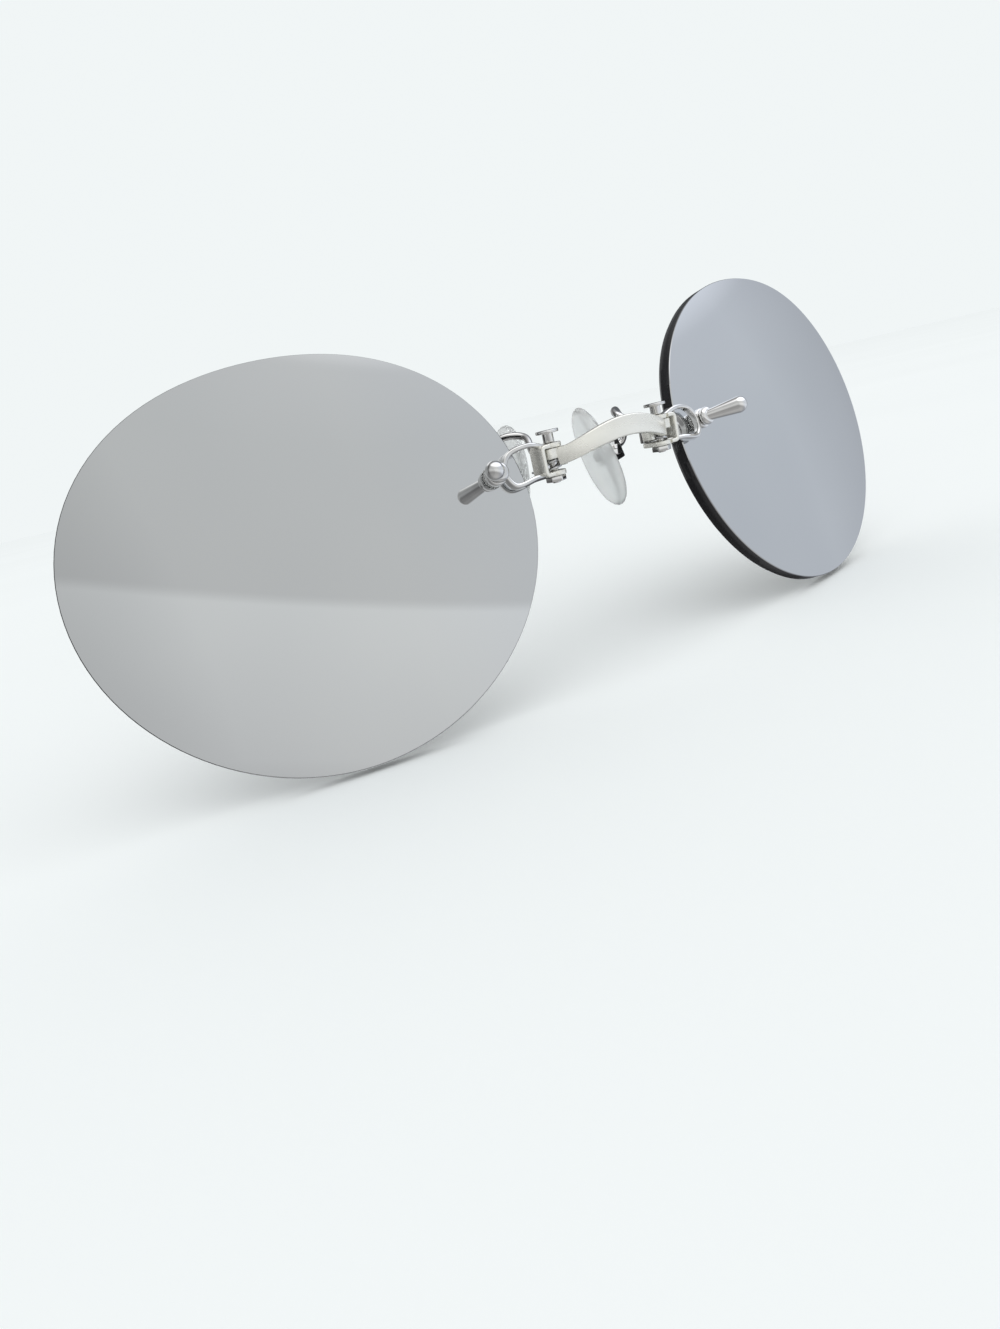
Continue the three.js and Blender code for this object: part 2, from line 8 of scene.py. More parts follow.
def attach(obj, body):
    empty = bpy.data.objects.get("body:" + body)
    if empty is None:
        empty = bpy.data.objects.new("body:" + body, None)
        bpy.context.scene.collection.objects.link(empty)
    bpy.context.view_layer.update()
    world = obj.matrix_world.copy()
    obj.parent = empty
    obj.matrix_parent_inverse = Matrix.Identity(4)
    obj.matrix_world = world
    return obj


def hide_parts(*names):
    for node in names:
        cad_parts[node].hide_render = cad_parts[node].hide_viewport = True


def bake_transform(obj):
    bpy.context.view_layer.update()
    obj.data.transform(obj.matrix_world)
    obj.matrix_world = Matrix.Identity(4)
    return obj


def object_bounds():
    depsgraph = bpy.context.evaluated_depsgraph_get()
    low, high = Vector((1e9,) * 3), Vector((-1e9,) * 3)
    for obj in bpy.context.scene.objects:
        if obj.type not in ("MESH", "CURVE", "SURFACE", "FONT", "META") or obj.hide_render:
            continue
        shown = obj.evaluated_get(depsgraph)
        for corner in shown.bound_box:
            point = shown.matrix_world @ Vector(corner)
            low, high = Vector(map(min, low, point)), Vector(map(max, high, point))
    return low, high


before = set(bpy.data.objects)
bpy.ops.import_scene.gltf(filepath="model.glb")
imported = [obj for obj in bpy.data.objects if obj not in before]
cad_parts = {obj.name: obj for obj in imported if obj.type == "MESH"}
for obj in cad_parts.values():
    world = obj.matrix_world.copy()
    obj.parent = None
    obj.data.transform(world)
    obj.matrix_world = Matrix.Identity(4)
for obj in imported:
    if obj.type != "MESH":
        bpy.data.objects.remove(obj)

# Nose clip sunglasses. Shapes are worked out in millimetres on the right-hand half,
# mirrored for the left-hand half, and set into the frame in metres.

solids_low, solids_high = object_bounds()

MM = 0.001
WELD = 1e-5
FULL_TURN = 2 * math.pi
QUARTER_TURN = math.pi / 2
SIDES = {"right": 1, "left": -1}
ALONG_BACK = Matrix.Rotation(-QUARTER_TURN, 4, "X")
FACING_FRONT = Matrix.Rotation(QUARTER_TURN, 4, "X")
SHARP_ANGLE = math.radians(32)
EASED_ANGLE = math.radians(50)
EASED_SEGMENTS = 2
FINE_SEGMENTS = 3
TURNED_STEPS = 56


def swung_and_leant(swing, lean, lean_axis):
    swung = Matrix.Rotation(math.radians(swing), 4, "Z")
    return swung @ Matrix.Rotation(math.radians(lean), 4, lean_axis)


# Places on the right-hand half
HINGE = Vector((7.45, -10.46, 1.65))
LENS_HOLE = HINGE + Vector((6.75, 1.2, -0.41))
LENS_TURN = swung_and_leant(swing=14.2, lean=-13.3, lean_axis="X")
PAD_PIVOT = Vector((8.75, 0, 0))
PAD_TURN = swung_and_leant(swing=-10, lean=-15, lean_axis="Y")

# Lens
LENS_FRONT_RADIUS = 200
LENS_THICKNESS = 1.8
LENS_MEAN_RADIUS = 21.65
LENS_OVALITY = 1.35
LENS_FULLNESS = 0.35
LENS_HOLE_RADIUS = 0.86
LENS_HOLE_OUT = -19.66
LENS_HOLE_RISE = 3.67
LENS_SEGMENTS = 240
LENS_RINGS = 30
LENS_REACH_HALVINGS = 36
LENS_FRONT_BEVEL = 0.1
LENS_REAR_BEVEL = 0.45

# Bridge bar and its knuckles
BAR_THICKNESS = 0.8
BAR_HEIGHT = 1.95
BAR_MIDDLE_HEIGHT = 2.15
BAR_END_HEIGHT = 1.75
BAR_EDGE = 0.18
BAR_STATIONS = 110
BAR_END_GAP = BAR_EDGE / 4
BOW_FORWARD = 3.44
BOW_RISE = 1.5
BOW_RISE_POWER = 3
BOW_START = math.radians(12.6)
KNUCKLE_FRONT = -1.15
KNUCKLE_CENTRE = Vector((-0.25, 0, 0))
KNUCKLE_SIZE = (2.7, 2.2)
KNUCKLE_CORNER = 0.45
KNUCKLE_CORNER_SEGMENTS = 6
KNUCKLE_EASE = 0.1
KNUCKLE_RECESS = -0.075
WEB_LOW = (-1.6, -0.45, -0.975)
WEB_HIGH = (-1.1, 1.1, -0.075)
WEB_EASE = 0.08

# Hinge levels, measured from the middle of the bar
PIN_HOLE_RADIUS = 0.5
UPPER_EYE = (1.025, 1.525)
LOWER_EYE = (-1.825, -1.325)
SCREW_FOOT = -2.575
SCREW_RADIUS = 0.42
SCREW_NECK_RADIUS = 0.58
SCREW_NECK_BASE = 1.575
SCREW_HEAD_RADIUS = 1.2
SCREW_HEAD = (2.525, 2.845)
SCREW_EASE = 0.07
SCREW_SLOT_REACH = 0.8 * SCREW_HEAD_RADIUS
SLOT_HALF = 0.15
SLOT_DEPTH = 0.15
NUT_RADIUS = 1.1
NUT = (-2.425, -1.875)
NUT_SIDES = 6
NUT_SIDE_CUTS = 7
NUT_EASE = 0.08

# Hinge spring
SPRING_WIRE_RADIUS = 0.125
SPRING_WIRE_SEGMENTS = 14
SPRING_RADIUS = 0.78
SPRING_TURNS = 1.25
SPRING_BASE = -1.15
SPRING_TOP = -0.25
SPRING_STEPS = 40
SPRING_SMOOTHING = 3
SPRING_LEG_SIDE = 1.195
SPRING_LEG_BACK = 2.35
SPRING_LEG_BEND = 1.55
SPRING_LEG_INNER = -1.475

# Fork
EYE_RADIUS = 1.2
EYE_SEGMENTS = 48
EYE_EASE = 0.1
TANG_END = 2.35
BAND_WIDTH = 0.9
BAND_THICKNESS = 0.5
BAND_EDGE = 0.16
BAND_START = 0.85
BAND_STEPS = 90
KNEE_REACH = 2.7
UPPER_KNEE_RISE = 0.55
LOWER_KNEE_FORWARD = 0.45
FORK_RIM = 0.9
FORK_SHOULDER = 1.7
FORK_THROAT = 1.6
WALL_WIDTH = 2.36
WALL_THICKNESS = 0.44
WALL_EDGE = 0.14
WALL_START = 0.75
WALL_MIDDLE = 1.68
WALL_BEND = 0.34
WALL_BEND_STEPS = 8
BRACKET_FINISH = 1
LENS_EYE_RADIUS = 1.15
LENS_EYE = (-1.35, -0.45)
LENS_EYE_EASE = 0.16

# Lens fixing, measured back from the front of the lens at its hole
FIX_HOLE_RADIUS = 0.48
FRONT_WASHER = (-0.4, -0.05)
REAR_WASHER = (1.85, 2.2)
WASHER_RADIUS = 1.15
WASHER_EASE = 0.08
BUSH = (0, LENS_THICKNESS)
BUSH_RADIUS = 0.81
LENS_SCREW_RADIUS = 0.4
LENS_SCREW_TAIL = -1.9
LENS_SCREW_HEAD = (2.25, 2.9)
LENS_SCREW_HEAD_RADIUS = 1.25
LENS_SCREW_DOME_RINGS = 10
LENS_SCREW_SLOT_REACH = 0.6 * LENS_SCREW_HEAD_RADIUS
POST_BASE = -1.4
COLLAR_LENGTH = 0.9
COLLAR_RADIUS = 1.05
POST_NECK_RADIUS = 0.62
POST_TIP_RADIUS = 0.95
POST_SHAFT = 4.62
POST_TURN = swung_and_leant(swing=28.5, lean=6.2, lean_axis="X")
COLLAR_RINGS = 14
POST_TIP_RINGS = 12

# Pad arm and nose pad
PLATE_LOW = (-0.95, 1.55, -1.275)
PLATE_HIGH = (0.95, 2.35, 0.975)
PLATE_EASE = 0.12
ARM_RADIUS = 0.4
ARM_SEGMENTS = 20
ARM_START = Vector((0, 1.95, 0))
ARM_RISE = Vector((-0.05, 3.4, 0.9))
ARM_BENDS = [(-2.2, -4.7, 4.2), (-0.4, -2.7, 4.5), (1.55, -1.3, 2.4), (1.6, -0.4, 0.7)]
ARM_END = Vector((0.8, 0, 0))
ARM_STEPS = 70
BOX_WALL = 0.4
BOX_HEIGHT = 2.6
BOX_EDGE = 0.1
BOX_BENDS = [(-0.65, -1.03), (0.3, -1.03), (0.71, -0.92), (0.8, -0.55)]
BOX_STEPS = 28
PAD_SCREW_RADIUS = 0.32
PAD_SCREW_HEAD_RADIUS = 0.62
PAD_SCREW_HEAD = (-1.63, -1.28)
PAD_SCREW_END = 1.23
PAD_SCREW_EASE = 0.07
PAD_HALF_DEPTH = 3.5
PAD_HALF_HEIGHT = 6.5
PAD_TAPER = 0.12
PAD_SEGMENTS = 72
# Each ring of the pad has its share of the outline and its level
PAD_RINGS = [
    (0.06, -2.85), (0.3, -2.845), (0.55, -2.83), (0.74, -2.8), (0.86, -2.72), (0.93, -2.58),
    (0.975, -2.36), (0.995, -2.14), (1.0, -1.95), (0.99, -1.74), (0.96, -1.52), (0.91, -1.33),
    (0.83, -1.19), (0.7, -1.1), (0.5, -1.065), (0.3, -1.055), (0.06, -1.05),
]
STUD_LOW = (-1.4, -0.75, -0.55)
STUD_HIGH = (0.35, 0.75, 0.55)
STUD_EASE = 0.14


def lens_sag(radius, out, rise):
    return LENS_FRONT_RADIUS - math.sqrt(radius * radius - out * out - rise * rise)


def lens_fix_turn():
    lean = -math.asin(LENS_HOLE_RISE / LENS_FRONT_RADIUS)
    swing = math.atan2(LENS_HOLE_OUT, LENS_FRONT_RADIUS - LENS_HOLE_SAG)
    return LENS_TURN @ Matrix.Rotation(swing, 4, "Z") @ Matrix.Rotation(lean, 4, "X")


LENS_HOLE_SAG = lens_sag(LENS_FRONT_RADIUS, LENS_HOLE_OUT, LENS_HOLE_RISE)
LENS_HOLE_OFFSET = Vector((LENS_HOLE_OUT, LENS_HOLE_SAG, LENS_HOLE_RISE))
HINGE_FRAME = Matrix.Translation(HINGE)
LENS_FRAME = Matrix.Translation(LENS_HOLE) @ LENS_TURN @ Matrix.Translation(-LENS_HOLE_OFFSET)
FIX_FRAME = Matrix.Translation(LENS_HOLE) @ lens_fix_turn()
FIX_BACK = FIX_FRAME @ ALONG_BACK
PAD_FRAME = Matrix.Translation(PAD_PIVOT) @ PAD_TURN
PAD_BACK = PAD_FRAME @ ALONG_BACK


# Shaping


def only(kind, items):
    return [item for item in items if isinstance(item, kind)]


def extruded_loop(bm, edges):
    made = bmesh.ops.extrude_edge_only(bm, edges=edges)["geom"]
    verts = only(bmesh.types.BMVert, made)
    faces = only(bmesh.types.BMFace, made)
    fresh = set(verts)
    loop = [edge for edge in only(bmesh.types.BMEdge, made) if fresh.issuperset(edge.verts)]
    return loop, verts, faces


def closed(bm):
    bmesh.ops.remove_doubles(bm, verts=bm.verts, dist=WELD)
    bmesh.ops.holes_fill(bm, edges=bm.edges, sides=0)
    bmesh.ops.recalc_face_normals(bm, faces=bm.faces)
    return bm


def eased(bm, offset, segments=EASED_SEGMENTS):
    whole = [edge for edge in bm.edges if edge.is_manifold]
    sharp = [edge for edge in whole if edge.calc_face_angle() > EASED_ANGLE]
    bmesh.ops.bevel(
        bm, geom=sharp, offset=offset, offset_type="OFFSET", segments=segments,
        profile=0.5, affect="EDGES", clamp_overlap=True, material=-1,
    )
    return bm


def moved(bm, matrix):
    bmesh.ops.transform(bm, matrix=matrix, verts=bm.verts)
    return bm


def joined(*shells):
    whole = bmesh.new()
    for shell in shells:
        mesh = bpy.data.meshes.new("shell")
        shell.to_mesh(mesh)
        shell.free()
        whole.from_mesh(mesh)
        bpy.data.meshes.remove(mesh)
    return whole


def turned(profile, ring=False):
    bm = bmesh.new()
    points = [bm.verts.new((radius, 0, height)) for radius, height in profile]
    edges = [bm.edges.new(pair) for pair in zip(points, points[1:])]
    if ring:
        edges.append(bm.edges.new((points[-1], points[0])))
    bmesh.ops.spin(
        bm, geom=points + edges, cent=(0, 0, 0), axis=(0, 0, 1), dvec=(0, 0, 0),
        angle=FULL_TURN, steps=TURNED_STEPS, use_merge=True,
    )
    return closed(bm)


def block(low, high):
    bm = bmesh.new()
    bmesh.ops.create_cube(bm, size=1)
    size = Vector(high) - Vector(low)
    middle = (Vector(high) + Vector(low)) / 2
    bmesh.ops.scale(bm, vec=size, verts=bm.verts)
    bmesh.ops.translate(bm, vec=middle, verts=bm.verts)
    return bm


def round_section(radius, segments):
    bm = bmesh.new()
    bmesh.ops.create_circle(bm, cap_ends=False, radius=radius, segments=segments)
    return bm


def rounded_plan(width, depth, corner, segments):
    bm = bmesh.new()
    bmesh.ops.create_grid(bm, x_segments=1, y_segments=1, size=0.5)
    bmesh.ops.scale(bm, vec=(width, depth, 1), verts=bm.verts)
    bmesh.ops.bevel(
        bm, geom=bm.verts[:], offset=corner, offset_type="OFFSET", segments=segments,
        profile=0.5, affect="VERTICES", clamp_overlap=True, material=-1,
    )
    bmesh.ops.delete(bm, geom=bm.faces[:], context="FACES_ONLY")
    return bm


def drawn(section, frames):
    bm = section
    edges = bm.edges[:]
    moved(bm, frames[0])
    for before, after in zip(frames, frames[1:]):
        edges, verts, _ = extruded_loop(bm, edges)
        bmesh.ops.transform(bm, matrix=after @ before.inverted(), verts=verts)
    return closed(bm)


def bored_plate(plan, hole_radius, low, high):
    bm = plan
    count = len(bm.verts)
    bmesh.ops.create_circle(bm, cap_ends=False, radius=hole_radius, segments=count)
    bmesh.ops.bridge_loops(bm, edges=bm.edges[:])
    bmesh.ops.translate(bm, vec=(0, 0, low), verts=bm.verts)
    made = bmesh.ops.extrude_face_region(bm, geom=bm.faces[:], use_keep_orig=True)["geom"]
    lifted = only(bmesh.types.BMVert, made)
    bmesh.ops.translate(bm, vec=(0, 0, high - low), verts=lifted)
    bmesh.ops.recalc_face_normals(bm, faces=bm.faces)
    return bm


# A smooth curve through the points, paced by the square root of their spacing
def smooth_path(points, steps):
    points = [Vector(point) for point in points]
    before = points[0] * 2 - points[1]
    after = points[-1] * 2 - points[-2]
    run = [before, *points, after]
    path = []
    for i in range(len(points) - 1):
        p0, p1, p2, p3 = run[i:i + 4]
        t1 = math.sqrt((p1 - p0).length)
        t2 = t1 + math.sqrt((p2 - p1).length)
        t3 = t2 + math.sqrt((p3 - p2).length)
        share = max(2, round(steps / (len(points) - 1)))
        for j in range(share):
            t = t1 + (t2 - t1) * j / share
            a1 = p0.lerp(p1, t / t1)
            a2 = p1.lerp(p2, (t - t1) / (t2 - t1))
            a3 = p2.lerp(p3, (t - t2) / (t3 - t2))
            b1 = a1.lerp(a2, t / t2)
            b2 = a2.lerp(a3, (t - t1) / (t3 - t1))
            path.append(b1.lerp(b2, (t - t1) / (t2 - t1)))
    path.append(points[-1])
    return path


# Frames along a path, with Z along it and X across it, carried on without twist
def carried_frames(path, across):
    ahead = [(b - a).normalized() for a, b in zip(path, path[1:])]
    along = [ahead[0]]
    along += [(a + b).normalized() for a, b in zip(ahead, ahead[1:])]
    along.append(ahead[-1])
    side = Vector(across)
    frames = []
    for point, direction in zip(path, along):
        side = (side - direction * side.dot(direction)).normalized()
        turn = Matrix((side, direction.cross(side), direction)).transposed()
        frames.append(Matrix.Translation(point) @ turn.to_4x4())
    return frames


# A blind slot sunk into the top of a turned head
def slotted(bm, top, reach):
    for axis, half in ((Vector((0, 1, 0)), SLOT_HALF), (Vector((1, 0, 0)), reach)):
        for sense in (-1, 1):
            bmesh.ops.bisect_plane(
                bm, geom=bm.verts[:] + bm.edges[:] + bm.faces[:], dist=WELD,
                plane_co=axis * half * sense, plane_no=axis * sense,
            )
    floor = []
    for face in bm.faces:
        middle = face.calc_center_median()
        inside = abs(middle.y) < SLOT_HALF and abs(middle.x) < reach
        if inside and middle.z > top - SLOT_DEPTH and face.normal.z > math.cos(EASED_ANGLE):
            floor.append(face)
    made = bmesh.ops.extrude_face_region(bm, geom=floor)["geom"]
    for vert in only(bmesh.types.BMVert, made):
        vert.co.z = top - SLOT_DEPTH
    left_over = [face for face in floor if face.is_valid]
    bmesh.ops.delete(bm, geom=left_over, context="FACES_ONLY")
    bmesh.ops.recalc_face_normals(bm, faces=bm.faces)
    return bm


# Finishes

TONE_SPREAD = (0.32, 0.68)
VALUE_SPREAD = (0.3, 0.7)
METAL_RELIEF = 0.00001
METAL_TONE_SHARE = 0.12


def new_finish(name):
    finish = bpy.data.materials.new(name)
    finish.use_nodes = True
    return finish, finish.node_tree, finish.node_tree.nodes["Principled BSDF"]


def speckle(tree, scale, detail, stretch=(1, 1, 1)):
    place = tree.nodes.new("ShaderNodeTexCoord")
    mapping = tree.nodes.new("ShaderNodeMapping")
    noise = tree.nodes.new("ShaderNodeTexNoise")
    mapping.inputs["Scale"].default_value = stretch
    noise.inputs["Scale"].default_value = scale
    noise.inputs["Detail"].default_value = detail
    tree.links.new(place.outputs["Object"], mapping.inputs["Vector"])
    tree.links.new(mapping.outputs["Vector"], noise.inputs["Vector"])
    return noise.outputs["Fac"]


def graded(tree, value, low, high):
    ramp = tree.nodes.new("ShaderNodeValToRGB")
    for shade, level, colour in zip(ramp.color_ramp.elements, TONE_SPREAD, (low, high)):
        shade.position = level
        shade.color = (*colour, 1)
    tree.links.new(value, ramp.inputs["Fac"])
    return ramp.outputs["Color"]


def ranged(tree, value, low, high):
    spread = tree.nodes.new("ShaderNodeMapRange")
    spread.inputs["From Min"].default_value = VALUE_SPREAD[0]
    spread.inputs["From Max"].default_value = VALUE_SPREAD[1]
    spread.inputs["To Min"].default_value = low
    spread.inputs["To Max"].default_value = high
    tree.links.new(value, spread.inputs["Value"])
    return spread.outputs["Result"]


def relief(tree, shader, value, distance, strength):
    bump = tree.nodes.new("ShaderNodeBump")
    bump.inputs["Distance"].default_value = distance
    bump.inputs["Strength"].default_value = strength
    tree.links.new(value, bump.inputs["Height"])
    tree.links.new(bump.outputs["Normal"], shader.inputs["Normal"])


def metal_finish(name, tones, roughness, scale, stretch, strength, metallic=1):
    finish, tree, shader = new_finish(name)
    tone = speckle(tree, scale=scale * METAL_TONE_SHARE, detail=3)
    lines = speckle(tree, scale=scale, detail=4, stretch=stretch)
    tree.links.new(graded(tree, tone, *tones), shader.inputs["Base Color"])
    tree.links.new(ranged(tree, lines, *roughness), shader.inputs["Roughness"])
    relief(tree, shader, lines, distance=METAL_RELIEF, strength=strength)
    shader.inputs["Metallic"].default_value = metallic
    return finish


def mirror_finish(name, tones, roughness):
    finish, tree, shader = new_finish(name)
    tone = speckle(tree, scale=28, detail=2)
    wiped = speckle(tree, scale=160, detail=4, stretch=(1, 1, 0.35))
    tree.links.new(graded(tree, tone, *tones), shader.inputs["Base Color"])
    tree.links.new(ranged(tree, wiped, *roughness), shader.inputs["Roughness"])
    shader.inputs["Metallic"].default_value = 1
    return finish


def smoke_finish(name, tones, roughness, ior):
    finish, tree, shader = new_finish(name)
    tone = speckle(tree, scale=60, detail=3)
    tree.links.new(graded(tree, tone, *tones), shader.inputs["Base Color"])
    tree.links.new(ranged(tree, tone, *roughness), shader.inputs["Roughness"])
    shader.inputs["IOR"].default_value = ior
    return finish


def clear_finish(name, tones, roughness, distance, ior, transmission):
    finish, tree, shader = new_finish(name)
    tone = speckle(tree, scale=500, detail=3)
    skin = speckle(tree, scale=2600, detail=3)
    tree.links.new(graded(tree, tone, *tones), shader.inputs["Base Color"])
    tree.links.new(ranged(tree, skin, *roughness), shader.inputs["Roughness"])
    relief(tree, shader, skin, distance=distance, strength=0.4)
    shader.inputs["IOR"].default_value = ior
    shader.inputs["Transmission Weight"].default_value = transmission
    return finish


POLISHED = metal_finish(
    "polished_silver",
    tones=((0.56, 0.558, 0.552), (0.86, 0.855, 0.845)),
    roughness=(0.04, 0.1), scale=1500, stretch=(1, 1, 0.4), strength=0.15,
)
SATIN = metal_finish(
    "satin_silver",
    tones=((0.8, 0.79, 0.735), (0.86, 0.85, 0.795)),
    roughness=(0.22, 0.3), scale=1800, stretch=(0.08, 1, 1), strength=0.05, metallic=0.6,
)
STEEL = metal_finish(
    "spring_wire",
    tones=((0.5, 0.505, 0.52), (0.66, 0.665, 0.68)),
    roughness=(0.14, 0.26), scale=2400, stretch=(1, 1, 0.3), strength=0.3,
)
MIRROR = mirror_finish(
    "mirror_coating",
    tones=((0.55, 0.563, 0.575), (0.6, 0.61, 0.615)),
    roughness=(0.015, 0.04),
)
SMOKE = smoke_finish(
    "smoke_lens",
    tones=((0.01, 0.01, 0.011), (0.018, 0.018, 0.02)),
    roughness=(0.04, 0.09), ior=1.53,
)
SILICONE = clear_finish(
    "clear_silicone",
    tones=((0.93, 0.95, 0.95), (0.98, 0.985, 0.985)),
    roughness=(0.12, 0.22), distance=0.000002, ior=1.41, transmission=0.6,
)
NYLON = clear_finish(
    "clear_nylon",
    tones=((0.86, 0.86, 0.84), (0.94, 0.94, 0.93)),
    roughness=(0.22, 0.36), distance=0.00001, ior=1.53, transmission=0.75,
)


# Placing


def piece(name, bm, finishes):
    bmesh.ops.scale(bm, vec=(MM, MM, MM), verts=bm.verts)
    mesh = bpy.data.meshes.new(name)
    bm.to_mesh(mesh)
    bm.free()
    mesh.shade_smooth()
    mesh.set_sharp_from_angle(angle=SHARP_ANGLE)
    for finish in finishes:
        mesh.materials.append(finish)
    made = bpy.data.objects.new(name, mesh)
    bpy.context.scene.collection.objects.link(made)
    return made


def side_piece(side, name, bm, place, finishes):
    moved(bm, place)
    if SIDES[side] < 0:
        bmesh.ops.scale(bm, vec=(-1, 1, 1), verts=bm.verts)
    bmesh.ops.recalc_face_normals(bm, faces=bm.faces)
    node = f"{side}_{name}"
    made = piece(f"{node}_look", bm, finishes)
    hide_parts(node)
    return made


# Lenses


# How far the lens reaches from its hole in a direction
def lens_reach(angle):
    near = 0
    far = 2 * (LENS_MEAN_RADIUS + LENS_OVALITY + LENS_FULLNESS)
    for _ in range(LENS_REACH_HALVINGS):
        reach = (near + far) / 2
        out = LENS_HOLE_OUT + reach * math.cos(angle)
        rise = LENS_HOLE_RISE + reach * math.sin(angle)
        bearing = math.atan2(rise, out)
        rim = LENS_MEAN_RADIUS + LENS_OVALITY * math.cos(2 * bearing)
        rim += LENS_FULLNESS * math.sin(3 * bearing)
        if math.hypot(out, rise) < rim:
            near = reach
        else:
            far = reach
    return near


# One closed shell: out over the front, round the bevelled rim, back over the rear
# and through the hole. Front and front bevel have the first finish, the rest the second.
def lens_shell():
    bm = round_section(LENS_HOLE_RADIUS, LENS_SEGMENTS)
    moved(bm, Matrix.Translation((LENS_HOLE_OUT, 0, LENS_HOLE_RISE)) @ FACING_FRONT)
    shares = [ring / LENS_RINGS for ring in range(LENS_RINGS + 1)]
    front_depth = LENS_FRONT_BEVEL / LENS_THICKNESS
    rear_depth = LENS_REAR_BEVEL / LENS_THICKNESS
    # Each ring has its share of the way to the rim, its inset, its share of the depth and a finish
    course = [(share, LENS_FRONT_BEVEL, 0, 0) for share in shares]
    course += [(1, 0, front_depth, 0), (1, 0, 1 - rear_depth, 1)]
    course += [(share, LENS_REAR_BEVEL, 1, 1) for share in reversed(shares)]
    course.append((0, LENS_REAR_BEVEL, 0, 1))
    loop = bm.edges[:]
    verts = bm.verts[:]
    for stage, (share, inset, back_share, finish) in enumerate(course):
        faces = []
        if stage > 0:
            loop, verts, faces = extruded_loop(bm, loop)
        for face in faces:
            face.material_index = finish
        for vert in verts:
            angle = math.atan2(vert.co.z - LENS_HOLE_RISE, vert.co.x - LENS_HOLE_OUT)
            reach = lens_reach(angle) - inset
            reach = LENS_HOLE_RADIUS + share * (reach - LENS_HOLE_RADIUS)
            out = LENS_HOLE_OUT + reach * math.cos(angle)
            rise = LENS_HOLE_RISE + reach * math.sin(angle)
            front = lens_sag(LENS_FRONT_RADIUS, out, rise)
            back = lens_sag(LENS_FRONT_RADIUS - LENS_THICKNESS, out, rise)
            vert.co = (out, front + (back - front) * back_share, rise)
    return closed(bm)


# Bridge bar


# The bow is half an ellipse from hinge to hinge, and its strip is tallest in the middle
def bow_frame(turn):
    span = HINGE.x
    share = math.sin(turn) ** BOW_RISE_POWER
    ahead = Vector((span * math.sin(turn), -BOW_FORWARD * math.cos(turn), 0)).normalized()
    across = Vector((-ahead.y, ahead.x, 0))
    axes = Matrix((across, Vector((0, 0, 1)), ahead)).transposed().to_4x4()
    forward = BOW_FORWARD * math.sin(turn)
    middle = Vector((-span * math.cos(turn), HINGE.y - forward, HINGE.z + BOW_RISE * share))
    height = BAR_END_HEIGHT + (BAR_MIDDLE_HEIGHT - BAR_END_HEIGHT) * share
    return Matrix.Translation(middle) @ axes @ Matrix.Diagonal((1, height, 1, 1))


# A strip in the shape of the bow, cut away below where it enters the knuckles
def bow():
    sweep = math.pi - 2 * BOW_START
    turns = [BOW_START + sweep * i / BAR_STATIONS for i in range(BAR_STATIONS + 1)]
    section = rounded_plan(BAR_THICKNESS, BAR_MIDDLE_HEIGHT, BAR_EDGE, FINE_SEGMENTS)
    bmesh.ops.scale(section, vec=(1, 1 / BAR_MIDDLE_HEIGHT, 1), verts=section.verts)
    strip = drawn(section, [bow_frame(turn) for turn in turns])
    for vert in strip.verts:
        if vert.co.y > HINGE.y + KNUCKLE_FRONT:
            vert.co.z = max(vert.co.z, HINGE.z + KNUCKLE_RECESS + BAR_END_GAP)
    return strip


def knuckle():
    plan = rounded_plan(*KNUCKLE_SIZE, KNUCKLE_CORNER, KNUCKLE_CORNER_SEGMENTS)
    moved(plan, Matrix.Translation(KNUCKLE_CENTRE))
    slab = bored_plate(plan, PIN_HOLE_RADIUS, KNUCKLE_RECESS, BAR_HEIGHT / 2)
    web = block(WEB_LOW, WEB_HIGH)
    return joined(eased(slab, KNUCKLE_EASE), eased(web, WEB_EASE))


def bridge_bar():
    right = moved(knuckle(), HINGE_FRAME)
    left = moved(knuckle(), Matrix.Scale(-1, 4, (1, 0, 0)) @ HINGE_FRAME)
    whole = joined(bow(), right, left)
    bmesh.ops.recalc_face_normals(whole, faces=whole.faces)
    return whole


# Hinge


def hinge_screw():
    low, high = SCREW_HEAD
    profile = [
        (0, SCREW_FOOT), (SCREW_RADIUS, SCREW_FOOT), (SCREW_RADIUS, SCREW_NECK_BASE),
        (SCREW_NECK_RADIUS, SCREW_NECK_BASE), (SCREW_NECK_RADIUS, low), (SCREW_HEAD_RADIUS, low),
        (SCREW_HEAD_RADIUS, high), (0, high),
    ]
    screw = eased(turned(profile), SCREW_EASE, FINE_SEGMENTS)
    return slotted(screw, high, SCREW_SLOT_REACH)


def hinge_nut():
    plan = round_section(NUT_RADIUS, NUT_SIDES)
    bmesh.ops.subdivide_edges(plan, edges=plan.edges[:], cuts=NUT_SIDE_CUTS)
    return eased(bored_plate(plan, PIN_HOLE_RADIUS, *NUT), NUT_EASE)


def hinge_spring():
    path = [Vector((SPRING_LEG_SIDE, SPRING_LEG_BACK, SPRING_BASE))]
    path.append(Vector((SPRING_LEG_SIDE, SPRING_LEG_BEND, SPRING_BASE)))
    path.append(Vector((SPRING_RADIUS, SPRING_RADIUS, SPRING_BASE)))
    steps = round(SPRING_TURNS * SPRING_STEPS)
    for i in range(steps + 1):
        angle = -FULL_TURN * i / SPRING_STEPS
        across = SPRING_RADIUS * math.cos(angle)
        back = SPRING_RADIUS * math.sin(angle)
        height = SPRING_BASE + (SPRING_TOP - SPRING_BASE) * i / steps
        path.append(Vector((across, back, height)))
    path.append(Vector((-SPRING_RADIUS, path[-1].y, SPRING_TOP)))
    path.append(Vector((SPRING_LEG_INNER, path[-1].y, SPRING_TOP)))
    wire = smooth_path(path, SPRING_SMOOTHING * len(path))
    section = round_section(SPRING_WIRE_RADIUS, SPRING_WIRE_SEGMENTS)
    return drawn(section, carried_frames(wire, (0, 0, 1)))


# Fork


